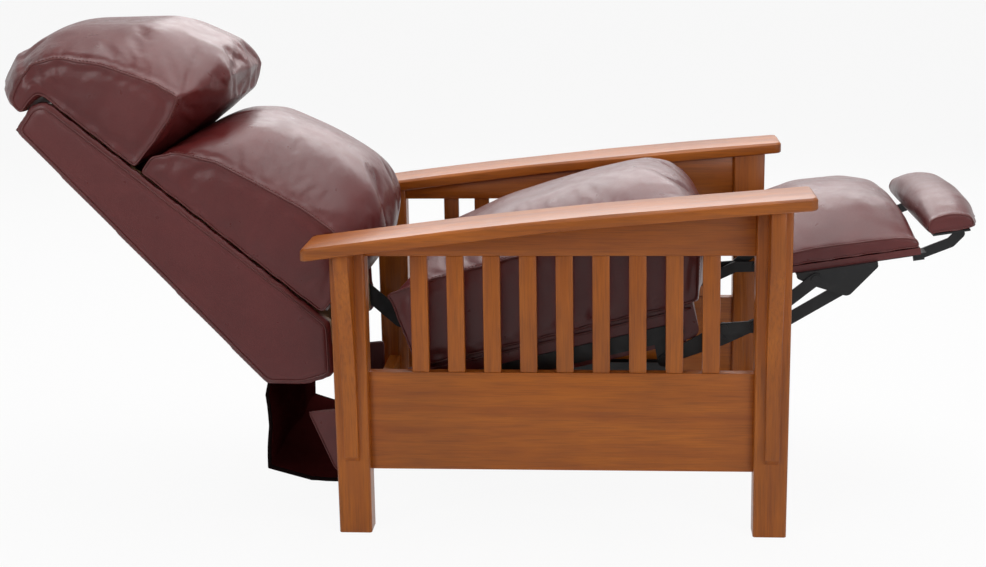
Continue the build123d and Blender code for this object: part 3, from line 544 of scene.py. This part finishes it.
def stuffedPiece(node, name, body, cushion, basePlane):
    obj = copyOf(node, name)
    rims = [softened(evenly(rim, cushion["rimStep"]), 3) for rim in sideRims(obj, cushion["half"])]
    seams = seamFinder(rims)
    origin, normal = basePlane

    def held(point):
        if (point - origin).dot(normal) < cushion["baseBand"]:
            return 1.0
        distance = seams.find(point)[2]
        return max(0.0, min(1.0, 1.6 - distance / cushion["seamBand"]))

    stuff(obj, cushion, held)
    sewSeams(obj, seams, cushion)
    coat(obj, leather)
    tree = surfaceTree(obj)
    welts = [softened(laidOn(rim, tree, cushion["welt"] * 0.3), 2) for rim in rims]
    piping = tubes(name + "Piping", welts, cushion["welt"], pipingHide)
    pieces = [obj, piping]
    if cushion["stitched"]:
        lines = []
        for rim in rims:
            lines += stitchLines(rim, tree, cushion["stitchInset"], cushion["stitch"], cushion["stitchGap"])
        pieces.append(tubes(name + "Stitches", lines, cushion["threadRadius"], thread, closed=False))
    for piece in pieces:
        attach(piece, body)
    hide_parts(node)
    print(name, "stuffed", len(obj.data.polygons), "faces")
    return obj


# A plane in the side view: a point on it and its upward normal
def slopePlane(corner, slope):
    turn = math.radians(slope)
    return place(*corner), Vector((-math.sin(turn), 0, math.cos(turn)))


common = {
    "voxel": 0.009, "relax": 18, "smaller": 0.005, "pressure": 4.0, "stretch": 15.0, "bending": 0.5,
    "slack": 0.012, "cap": 0.015, "sideCap": 0.006, "half": 0.262, "baseBand": 0.008, "seamBand": 0.008,
    "seamDepth": 0.0035, "fold": 0.0007, "foldReach": 0.022, "foldCount": 32.0, "welt": 0.0021,
    "stitched": True, "fill": 0.85, "seed": 1.0, "quality": 3, "mass": 0.4, "frames": 20, "sideBand": 0.02,
    "rimStep": 0.005, "stitchInset": 0.007, "stitch": 0.0045, "stitchGap": 0.0025, "threadRadius": 0.0008,
}
seatBase = slopePlane((133.8, 291.3), 13.8)
backBase = slopePlane((-516.8, 794.2), -39.04)
padBase = slopePlane((773.2, 477.2), 8.6)
flipperBase = slopePlane((1071.5, 537.5), 8.6)
seatCushion = dict(common, seed=3.1)
lumbarCushion = dict(common, seed=7.7, slack=0.015)
pillowGathers = {"at": place(-560, 850, -262), "spread": 0.11, "size": 0.0055}
headPillow = dict(common, seed=11.3, slack=0.016, smaller=0.008, cap=0.012, relax=10, gathers=pillowGathers)
footPad = dict(common, voxel=0.008, half=0.250, cap=0.006, seed=17.9, slack=0.0, fold=0.0003, welt=0.0016,
               relax=30, smaller=0.002, stitched=False, seamDepth=0.0015)
flipperSize = dict(footPad, voxel=0.007, half=0.225, cap=0.005, seed=23.3)

stuffedPiece("seat_cushion", "seatCushion", "seat", seatCushion, seatBase)
stuffedPiece("lumbar_cushion", "lumbarCushion", "back", lumbarCushion, backBase)
stuffedPiece("head_pillow", "headPillow", "back", headPillow, backBase)
stuffedPiece("footrest_pad", "footrestPad", "footrest_board", footPad, padBase)
stuffedPiece("flipper_pad", "flipperPad", "flipper", flipperSize, flipperBase)

# Side panels of the back: thin padding, piped all round
panelSize = {
    "half": 0.268, "voxel": 0.007, "relax": 4, "fullness": 0.0004, "cloud": 0.0004, "cloudCount": 9.0,
    "inset": 0.0008, "edgeBand": 0.05, "outerFace": 0.26, "seamDepth": 0.0022, "seamBand": 0.006,
    "rimStep": 0.006, "welt": 0.0018, "weltLift": 0.0008, "fill": 0.9,
}
for side in ("right", "left"):
    node = "back_side_panel_" + side
    panel = copyOf(node, camelName(node))
    rim = [r for r in sideRims(panel, panelSize["half"]) if len(r) > 2]
    remesh = panel.modifiers.new("remesh", "REMESH")
    remesh.mode = "VOXEL"
    remesh.voxel_size = panelSize["voxel"]
    relax = panel.modifiers.new("relax", "SMOOTH")
    relax.iterations = panelSize["relax"]
    finer = panel.modifiers.new("finer", "SUBSURF")
    finer.levels = finer.render_levels = 1
    applyAll(panel)
    edges = [softened(evenly(line, panelSize["rimStep"]), 2) for line in rim]
    seams = seamFinder(edges)
    normals = [vertex.normal.copy() for vertex in panel.data.vertices]
    for vertex, normal in zip(panel.data.vertices, normals):
        distance = seams.find(vertex.co)[2]
        outward = abs(normal.y)
        full = panelSize["fullness"] * min(1.0, distance / panelSize["edgeBand"]) * outward
        cloud = panelSize["cloud"] * fractal.noise(vertex.co * panelSize["cloudCount"]) - panelSize["inset"]
        if abs(vertex.co.y) > panelSize["outerFace"]:
            vertex.co.y += (full + cloud) * (1 if vertex.co.y > 0 else -1)
        vertex.co -= normal * panelSize["seamDepth"] * math.exp(-((distance / panelSize["seamBand"]) ** 2))
    panel.data.update()
    coat(panel, leather)
    bpy.ops.object.shade_smooth()
    tree = surfaceTree(panel)
    lines = [softened(laidOn(line, tree, panelSize["weltLift"]), 1) for line in edges]
    welt = tubes(panel.name + "Piping", lines, panelSize["welt"], pipingHide)
    for piece in (panel, welt):
        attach(piece, "back")
    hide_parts(node)
print("side panels made")

# Leather on the seat frame: two welts below the cushion
weltSize = {
    "radius": 0.0024, "heights": (70.0, 60.0), "start": -4.0, "end": 528.0, "side": 251.2,
    "corner": (150.0, 225.0), "slope": 13.8, "step": 0.01,
}
turn = math.radians(weltSize["slope"])
for index, height in enumerate(weltSize["heights"]):
    line = []
    for end, side in (("start", -1), ("end", -1), ("end", 1), ("start", 1)):
        along = weltSize[end]
        x = weltSize["corner"][0] + along * math.cos(turn) - height * math.sin(turn)
        z = weltSize["corner"][1] + along * math.sin(turn) + height * math.cos(turn)
        line.append(place(x, z, side * weltSize["side"]))
    lines = [evenly(line, weltSize["step"], closed=False)]
    welt = tubes("seatFrameWelt" + str(index + 1), lines, weltSize["radius"], pipingHide, closed=False)
    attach(welt, "seat")

# Flap behind the seat, bound in black along its sides
flapSize = {
    "binding": 0.0075, "half": 0.240, "flat": (0.48, 0.375), "acrossStep": 0.022, "step": 0.016,
    "foot": 0.07, "rear": -0.395, "ripple": 0.007, "rippleCount": 8.0, "heldAbove": 0.25,
    "heldAhead": -0.295, "fade": 0.03,
}
flap = copyOf("rear_flap", "rearFlap")
# Painted shade: the flap's leather gets the near-black red of the shade behind the seat
coat(flap, shadedFlapHide)
flap.data.materials.append(blackHem)
mesh = bmesh.new()
mesh.from_mesh(flap.data)
cuts = [(1, side * (flapSize["half"] - flapSize["binding"])) for side in (-1, 1)]
cuts += [(1, flapSize["acrossStep"] * step) for step in range(-10, 11)]
cuts += [(2, flapSize["foot"] + flapSize["step"] * step) for step in range(12)]
cuts += [(0, flapSize["rear"] + flapSize["step"] * step) for step in range(8)]
for axis, where in cuts:
    parts = list(mesh.verts) + list(mesh.edges) + list(mesh.faces)
    at = Vector([where if index == axis else 0.0 for index in range(3)])
    along = Vector([1.0 if index == axis else 0.0 for index in range(3)])
    bmesh.ops.bisect_plane(mesh, geom=parts, plane_co=at, plane_no=along)
for vertex in mesh.verts:
    here = vertex.co * flapSize["rippleCount"]
    below = min(1.0, max(0.0, (flapSize["heldAbove"] - vertex.co.z) / flapSize["fade"]))
    behind = min(1.0, max(0.0, (flapSize["heldAhead"] - vertex.co.x) / flapSize["fade"]))
    free = below * behind
    vertex.co.x += flapSize["ripple"] * free * fractal.noise(here)
    vertex.co.z += flapSize["ripple"] * free * fractal.noise(here + Vector((9, 9, 9)))
for face in mesh.faces:
    if abs(face.calc_center_median().y) > flapSize["half"] - flapSize["binding"]:
        face.material_index = 1
mesh.to_mesh(flap.data)
mesh.free()
makeActive(flap)
bpy.ops.object.shade_smooth_by_angle(angle=math.radians(50))
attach(flap, "back")
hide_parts("rear_flap")

# Gussets beside the flap, with their edges piped
gussetSize = {"flat": (0.144, 0.133), "area": 0.012, "half": 0.245, "step": 0.006, "welt": 0.0018}
gussets = copyOf("rear_gussets", "rearGussets")
coat(gussets, leather)
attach(gussets, "back")
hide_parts("rear_gussets")
rims = [softened(evenly(rim, gussetSize["step"]), 1) for rim in sideRims(gussets, gussetSize["half"])]
gussetEdges = tubes("gussetPiping", rims, gussetSize["welt"], pipingHide)
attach(gussetEdges, "back")
print("flap bound")


# Floor, light and camera
def addArea(name, where, target, size, power):
    light = bpy.data.lights.new(name, "AREA")
    light.energy = power
    light.shape = "RECTANGLE"
    light.size, light.size_y = size
    obj = bpy.data.objects.new(name, light)
    bpy.context.scene.collection.objects.link(obj)
    obj.location = where
    obj.rotation_euler = (Vector(target) - Vector(where)).to_track_quat("-Z", "Y").to_euler()


def showsWhite(tree, plain, seenShare, glossyShare):
    rays = tree.nodes.new("ShaderNodeLightPath")
    seen = calc(tree, "MAXIMUM", rays.outputs["Is Camera Ray"], rays.outputs["Is Transmission Ray"])
    seen = calc(tree, "MULTIPLY", seen, seenShare)
    seen = calc(tree, "MAXIMUM", seen, calc(tree, "MULTIPLY", rays.outputs["Is Glossy Ray"], glossyShare))
    glow = tree.nodes.new("ShaderNodeEmission")
    glow.inputs["Strength"].default_value = 1.0
    mix = tree.nodes.new("ShaderNodeMixShader")
    tree.links.new(seen, mix.inputs["Fac"])
    tree.links.new(plain, mix.inputs[1])
    tree.links.new(glow.outputs[0], mix.inputs[2])
    return mix.outputs[0]


deselectAll()
bpy.ops.mesh.primitive_plane_add(size=60, location=(0, 0, 0))
floor = bpy.context.object
floor.name = "studioFloor"
bpy.ops.object.mode_set(mode="EDIT")
bpy.ops.mesh.select_mode(type="EDGE")
mesh = bmesh.from_edit_mesh(floor.data)
for edge in mesh.edges:
    edge.select_set(all(v.co.y > 1 for v in edge.verts))
bmesh.update_edit_mesh(floor.data)
bpy.ops.mesh.extrude_region_move(TRANSFORM_OT_translate={"value": (0, 8, 30)})
bpy.ops.object.mode_set(mode="OBJECT")
floorLook = bpy.data.materials.new("studioFloor")
floorLook.use_nodes = True
tree = floorLook.node_tree
shader = tree.nodes["Principled BSDF"]
shader.inputs["Base Color"].default_value = (0.86, 0.86, 0.86, 1)
shader.inputs["Roughness"].default_value = 0.9
mixed = showsWhite(tree, shader.outputs[0], 0.93, 0.8)
tree.links.new(mixed, tree.nodes["Material Output"].inputs["Surface"])
floor.data.materials.append(floorLook)

world = bpy.data.worlds.new("studio")
bpy.context.scene.world = world
world.use_nodes = True
tree = world.node_tree
sky = tree.nodes["Background"]
sky.inputs["Color"].default_value = (1, 1, 1, 1)
sky.inputs["Strength"].default_value = 0.5
mixed = showsWhite(tree, sky.outputs[0], 1.0, 0.0)
tree.links.new(mixed, tree.nodes["World Output"].inputs["Surface"])

# Each lamp: its place, what it faces, its size and its power
lamps = {
    "overhead": ((0.3, 0.3, 3.2), (0, 0, 0.4), (3.4, 2.2), 75),
    "frontLeft": ((-2.2, -3.2, 2.2), (-0.2, 0, 0.5), (1.6, 2.2), 42),
    "frontRight": ((2.6, -3.0, 1.6), (0.3, 0, 0.3), (1.6, 2.0), 34),
    "behind": ((0.2, 3.2, 2.6), (0, 0, 0.6), (3.4, 1.8), 60),
}
for name, values in lamps.items():
    addArea(name, *values)

view = {
    "lens": 61.047, "shift": -0.05, "where": (520.42, 1128.46, -3212.97),
    "right": (0.997106, 0.074334, -0.015952), "up": (0.001291, 0.193214, 0.981155),
    "ahead": (-0.076016, 0.978337, -0.19256),
}
camera = bpy.data.cameras.new("camera")
camera.sensor_width = 36.0
camera.lens = view["lens"]
camera.shift_y = view["shift"]
cameraObject = bpy.data.objects.new("camera", camera)
bpy.context.scene.collection.objects.link(cameraObject)
axes = (Vector(view["right"]), Vector(view["up"]), -Vector(view["ahead"]))
turned = Matrix(axes).transposed().to_4x4()
turned.translation = place(*view["where"])
cameraObject.matrix_world = turned
bpy.context.scene.camera = cameraObject
bpy.context.scene.view_settings.view_transform = "Standard"
print("stage set")

deselectAll()
